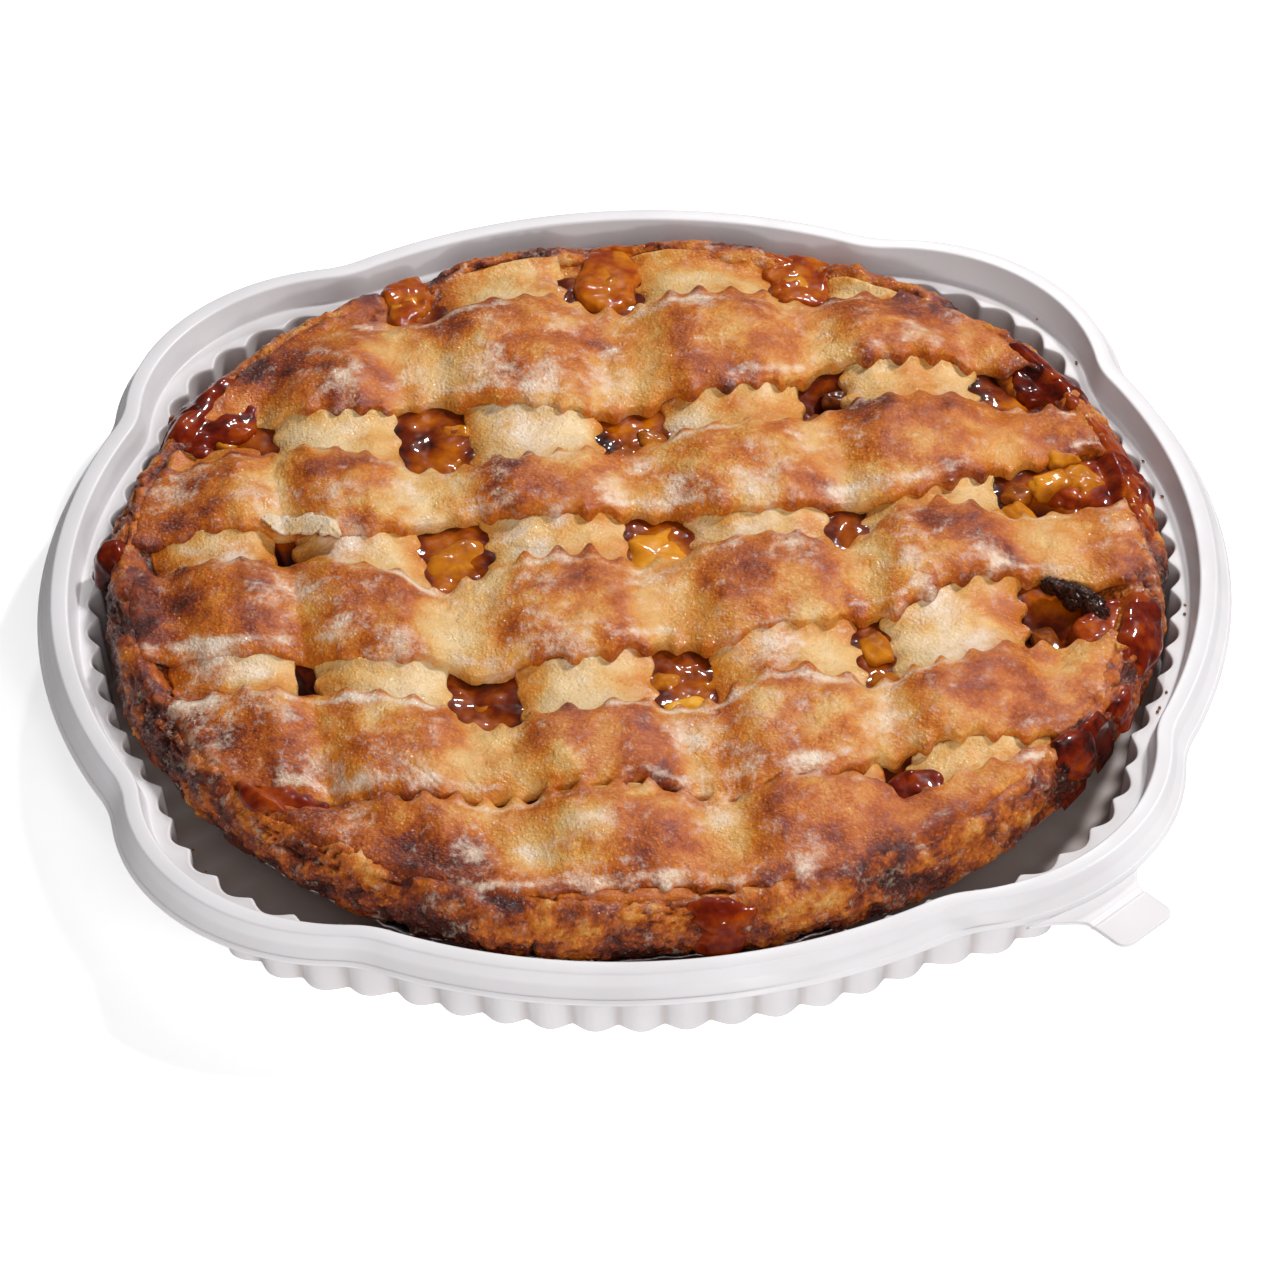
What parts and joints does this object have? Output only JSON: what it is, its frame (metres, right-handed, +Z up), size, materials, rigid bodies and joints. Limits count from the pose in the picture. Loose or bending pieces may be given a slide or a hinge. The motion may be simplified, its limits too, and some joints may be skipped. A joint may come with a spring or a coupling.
{
  "type": "lattice apple pie",
  "caption": "Round lattice-topped apple pie with pinked pastry strips, glossy filling in the windows and a browned rim, in a foil pan on a lobed, fluted plastic tray with a lifting tab.",
  "frame": {"origin": "on the table under the middle of the tray's flat floor", "axes": "+Z up; the lower strips run along Y and the upper strips along X, and the lifting tab points towards +X and -Y"},
  "size_m": [0.254, 0.254, 0.0359],
  "materials": {
    "tray_plastic": "thin moulded plastic, satin, off-white with a faint cool grey",
    "foil": "thin crinkled foil",
    "rim_pastry": "crumbly baked pastry, deep brown, with a dull glaze",
    "lower_pastry": "pale baked pastry soaked with glaze",
    "upper_pastry": "golden browned pastry under a cracked sugar glaze",
    "filling": "wet translucent apple pieces in amber jelly"
  },
  "bodies": {
    "root": {"tray": "tray_plastic", "foil_pan": "foil", "pastry_case": "rim_pastry", "apple_filling": "filling", "under_strip_1": "lower_pastry", "under_strip_2": "lower_pastry", "under_strip_3": "lower_pastry", "under_strip_4": "lower_pastry", "under_strip_5": "lower_pastry", "over_strip_1": "upper_pastry", "over_strip_2": "upper_pastry", "over_strip_3": "upper_pastry", "over_strip_4": "upper_pastry", "over_strip_5": "upper_pastry"}
  },
  "joints": []
}
